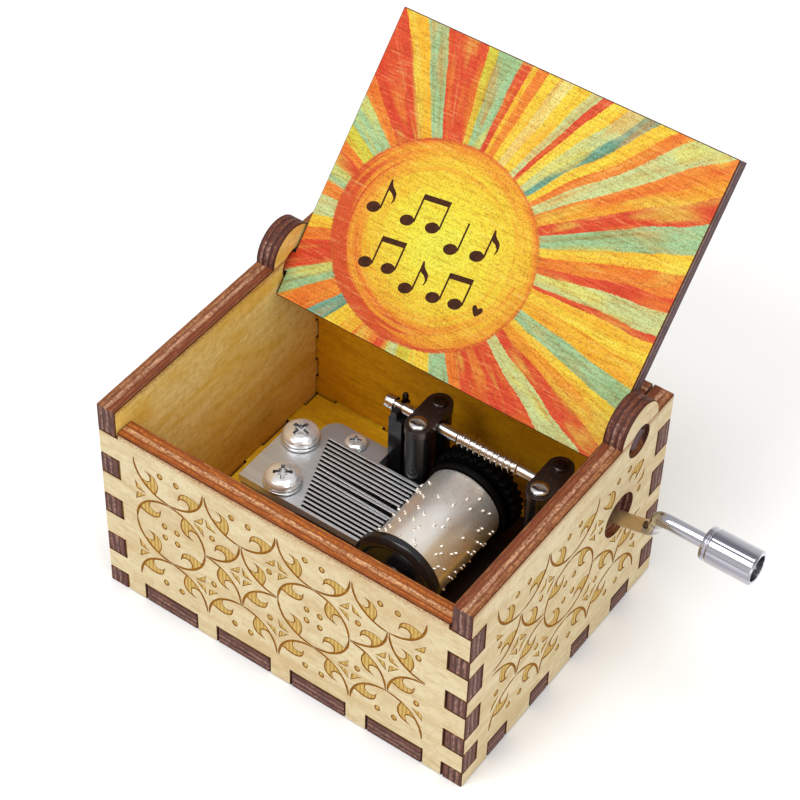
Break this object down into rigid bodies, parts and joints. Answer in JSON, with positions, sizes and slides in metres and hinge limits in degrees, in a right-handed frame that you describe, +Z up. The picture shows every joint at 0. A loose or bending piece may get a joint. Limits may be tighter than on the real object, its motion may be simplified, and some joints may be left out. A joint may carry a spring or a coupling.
{
  "type": "music box",
  "caption": "Small hand-cranked music box: a finger-jointed plywood case with a tilting painted lid over a comb and pin-cylinder movement, turned by a bent crank through the side.",
  "frame": {"origin": "centre of the case's underside", "axes": "+Z up, +X out of the side that the crank comes from, -Y out of the front wall; the lid's hinge is along X near the back"},
  "size_m": [0.0878, 0.0703, 0.0676],
  "materials": {
    "plywood": "laser-cut birch plywood, unvarnished, with charred cut edges",
    "painted_plywood": "plywood printed in bright satin colours",
    "cast_zinc": "fine satin die casting",
    "comb_steel": "fine-ground satin",
    "bright_steel": "bright, polished",
    "nickel_plate": "satin nickel plate",
    "black_plastic": "semi-gloss moulding",
    "blackened_steel": "blackened",
    "chrome": "mirror"
  },
  "bodies": {
    "case": {"front_panel": "plywood", "back_panel": "plywood", "left_panel": "plywood", "right_panel": "plywood", "bottom_panel": "plywood", "bedplate": "cast_zinc", "comb": "comb_steel", "comb_screw_front": "bright_steel", "comb_screw_rear": "bright_steel", "comb_washer_front": "bright_steel", "comb_washer_rear": "bright_steel", "bedplate_tab_screw": "bright_steel", "cap_screw_left_front": "bright_steel", "cap_screw_right_front": "bright_steel", "mounting_screw_1": "bright_steel", "mounting_screw_2": "bright_steel", "mounting_screw_3": "bright_steel", "bearing_block_left": "black_plastic", "bearing_block_right": "black_plastic", "bearing_cap_left": "black_plastic", "bearing_cap_right": "black_plastic", "end_post": "black_plastic", "cap_screw_left_rear": "blackened_steel", "cap_screw_right_rear": "blackened_steel", "end_post_peg": "blackened_steel"},
    "lid": {"lid": "painted_plywood"},
    "crank": {"worm_shaft": "bright_steel", "shaft_coupler": "bright_steel", "crank_rod": "chrome", "knob_rivet": "bright_steel"},
    "knob": {"crank_knob": "chrome"},
    "drum": {"pin_cylinder": "nickel_plate", "cylinder_front_cap": "black_plastic", "worm_wheel": "black_plastic", "cylinder_arbor": "bright_steel"}
  },
  "joints": [
    {"name": "lid_hinge", "type": "hinge", "parent": "case", "child": "lid", "pos_m": [0, 0.0161, 0.0361], "axis": [1, 0, 0], "range_deg": [-12, 132.5]},
    {"name": "crank_spin", "type": "hinge", "parent": "case", "child": "crank", "pos_m": [0, 0.01225, 0.0226], "axis": [1, 0, 0], "continuous": true},
    {"name": "drum_spin", "type": "hinge", "parent": "case", "child": "drum", "pos_m": [0.0084, 0, 0.0135], "axis": [0, 1, 0], "continuous": true},
    {"name": "knob_spin", "type": "hinge", "parent": "crank", "child": "knob", "pos_m": [0.05175, 0.00885, 0.0322], "axis": [1, 0, 0], "continuous": true}
  ],
  "couplings": [
    {"joint": "drum_spin", "follows": "crank_spin", "ratio": -0.03125}
  ]
}
